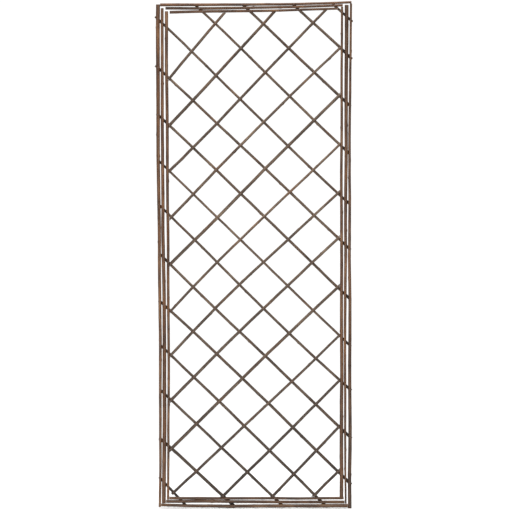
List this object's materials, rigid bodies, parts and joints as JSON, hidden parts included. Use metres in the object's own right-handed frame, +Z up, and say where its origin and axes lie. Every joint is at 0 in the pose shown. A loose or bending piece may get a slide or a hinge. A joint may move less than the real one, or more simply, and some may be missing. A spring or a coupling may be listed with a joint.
{
  "type": "trellis panel",
  "caption": "Flat garden trellis panel: a diamond lattice of thin willow rods nailed behind a frame of three nested willow rectangles.",
  "frame": {"origin": "middle of the panel's lowest level: under the centre of the width and of the thickness, at the foot of the longest side rod", "axes": "+Z up along the side rods, +X to the right as seen from the front, -Y out of the front face, where the frame rods and the rising rods lie"},
  "size_m": [0.4707, 0.0189, 1.2],
  "materials": {
    "frame_willow": "natural willow bark, dry, red-brown to grey-brown, unpeeled and untreated",
    "lattice_willow": "natural willow bark, dry, grey-brown, unpeeled and untreated",
    "nail_steel": "dull bright wire nail with a light bloom of rust"
  },
  "bodies": {
    "root": {"left_stile_outer": "frame_willow", "left_stile_middle": "frame_willow", "left_stile_inner": "frame_willow", "right_stile_outer": "frame_willow", "right_stile_middle": "frame_willow", "right_stile_inner": "frame_willow", "top_rail_outer": "frame_willow", "top_rail_middle": "frame_willow", "top_rail_inner": "frame_willow", "bottom_rail_outer": "frame_willow", "bottom_rail_middle": "frame_willow", "bottom_rail_inner": "frame_willow", "falling_rod_01": "lattice_willow", "falling_rod_02": "lattice_willow", "falling_rod_03": "lattice_willow", "falling_rod_04": "lattice_willow", "falling_rod_05": "lattice_willow", "falling_rod_06": "lattice_willow", "falling_rod_07": "lattice_willow", "falling_rod_08": "lattice_willow", "falling_rod_09": "lattice_willow", "falling_rod_10": "lattice_willow", "falling_rod_11": "lattice_willow", "falling_rod_12": "lattice_willow", "falling_rod_13": "lattice_willow", "falling_rod_14": "lattice_willow", "falling_rod_15": "lattice_willow", "rising_rod_01": "lattice_willow", "rising_rod_02": "lattice_willow", "rising_rod_03": "lattice_willow", "rising_rod_04": "lattice_willow", "rising_rod_05": "lattice_willow", "rising_rod_06": "lattice_willow", "rising_rod_07": "lattice_willow", "rising_rod_08": "lattice_willow", "rising_rod_09": "lattice_willow", "rising_rod_10": "lattice_willow", "rising_rod_11": "lattice_willow", "rising_rod_12": "lattice_willow", "rising_rod_13": "lattice_willow", "lattice_nails": "nail_steel", "left_stile_nails": "nail_steel", "right_stile_nails": "nail_steel", "top_rail_nails": "nail_steel", "bottom_rail_nails": "nail_steel"}
  },
  "joints": []
}
